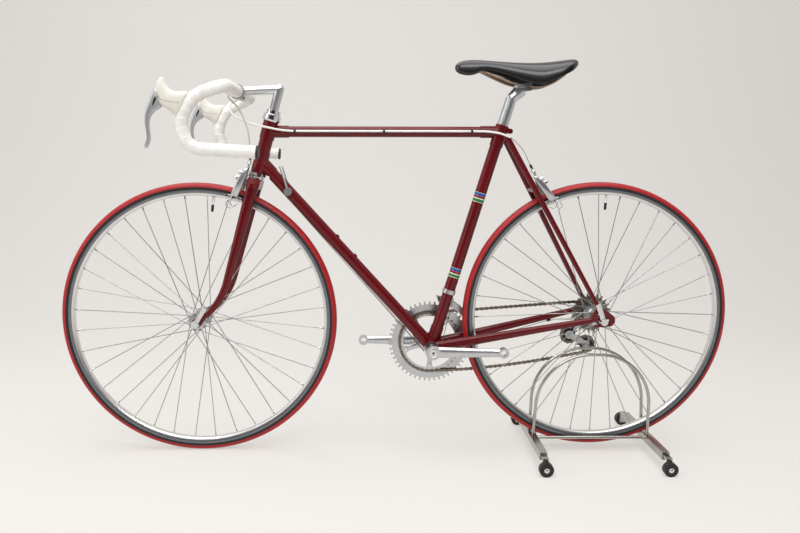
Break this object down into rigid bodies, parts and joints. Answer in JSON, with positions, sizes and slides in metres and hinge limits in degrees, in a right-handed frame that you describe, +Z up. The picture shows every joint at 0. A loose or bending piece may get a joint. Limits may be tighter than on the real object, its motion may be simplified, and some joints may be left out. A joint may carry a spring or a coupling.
{
  "type": "lugged steel road bicycle on a rear-wheel display stand",
  "caption": "Lugged steel road bicycle with drop bars and derailleurs, its rear wheel held in a polished wire display stand.",
  "frame": {"origin": "on the floor, midway between the two wheels, in the bicycle's middle plane", "axes": "+X forward, +Y to the rider's left, +Z up"},
  "size_m": [1.6479, 0.42, 0.9669],
  "materials": {
    "bar_tape": "perforated",
    "chromed_steel": "gloss",
    "frame_paint": "gloss",
    "hood_rubber": "matte",
    "lever_grey": "satin",
    "black_rubber": "matte",
    "sprocket_steel": "satin",
    "polished_alloy": "polished",
    "cable_housing": "smooth",
    "spoke_steel": "satin",
    "tyre": "ribbed",
    "inner_cable": "satin",
    "saddle_cover": "smooth",
    "rail_bronze": "satin",
    "stand_steel": "polished"
  },
  "bodies": {
    "frame": {"bearing_cups": "chromed_steel", "bottle_bosses": "frame_paint", "bottom_bracket_shell": "frame_paint", "cable_clips": "black_rubber", "chain": "sprocket_steel", "chainstays": "frame_paint", "down_tube": "frame_paint", "dropouts": "frame_paint", "front_derailleur": "polished_alloy", "head_lugs": "frame_paint", "head_tube": "frame_paint", "jockey_pulleys": "black_rubber", "rear_axle": "chromed_steel", "rear_brake": "polished_alloy", "rear_brake_cable": "inner_cable", "rear_brake_housing": "cable_housing", "rear_brake_housing_free": "cable_housing", "rear_brake_pads": "black_rubber", "rear_derailleur": "polished_alloy", "saddle": "saddle_cover", "saddle_rails": "rail_bronze", "seat_lug": "frame_paint", "seat_post": "polished_alloy", "seat_stays": "frame_paint", "seat_tube": "frame_paint", "shift_cables": "inner_cable", "shift_housing": "cable_housing", "shift_levers": "polished_alloy", "stand_feet": "black_rubber", "stand_foot_bars": "stand_steel", "stand_hoops": "stand_steel", "stay_bridges": "frame_paint", "top_tube": "frame_paint"},
    "steering": {"fork_crown": "frame_paint", "fork_blades": "frame_paint", "headset_races": "chromed_steel", "stem": "polished_alloy", "handlebar": "polished_alloy", "bar_tape": "bar_tape", "brake_hoods": "hood_rubber", "brake_levers": "lever_grey", "front_brake": "polished_alloy", "front_brake_pads": "black_rubber", "front_brake_housing": "cable_housing", "front_axle": "chromed_steel"},
    "front_wheel": {"front_tyre": "tyre", "front_rim": "polished_alloy", "front_spokes": "spoke_steel", "front_hub": "polished_alloy"},
    "rear_wheel": {"rear_tyre": "tyre", "rear_rim": "polished_alloy", "rear_spokes": "spoke_steel", "rear_hub": "polished_alloy"},
    "crankset": {"crank_spindle": "chromed_steel", "left_crank": "polished_alloy", "right_crank": "polished_alloy", "outer_chainring": "polished_alloy", "inner_chainring": "polished_alloy"},
    "freewheel": {"freewheel_sprockets": "sprocket_steel"}
  },
  "joints": [
    {"name": "steering_turn", "type": "hinge", "parent": "frame", "child": "steering", "pos_m": [0.34674, 0, 0.69311], "axis": [-0.2599, 0, 0.9656], "range_deg": [-75, 75], "deforming": ["rear_brake_housing_free"]},
    {"name": "front_wheel_spin", "type": "hinge", "parent": "steering", "child": "front_wheel", "pos_m": [0.49, 0, 0.334], "axis": [0, 1, 0], "continuous": true},
    {"name": "rear_wheel_spin", "type": "hinge", "parent": "frame", "child": "rear_wheel", "pos_m": [-0.48987, 0, 0.35], "axis": [0, 1, 0], "continuous": true},
    {"name": "crank_spin", "type": "hinge", "parent": "frame", "child": "crankset", "pos_m": [-0.07993, 0, 0.2683], "axis": [0, 1, 0], "continuous": true, "deforming": ["chain"]},
    {"name": "freewheel_spin", "type": "hinge", "parent": "frame", "child": "freewheel", "pos_m": [-0.48987, 0, 0.35], "axis": [0, 1, 0], "continuous": true}
  ],
  "couplings": [
    {"joint": "freewheel_spin", "follows": "crank_spin", "ratio": 2.9231}
  ]
}
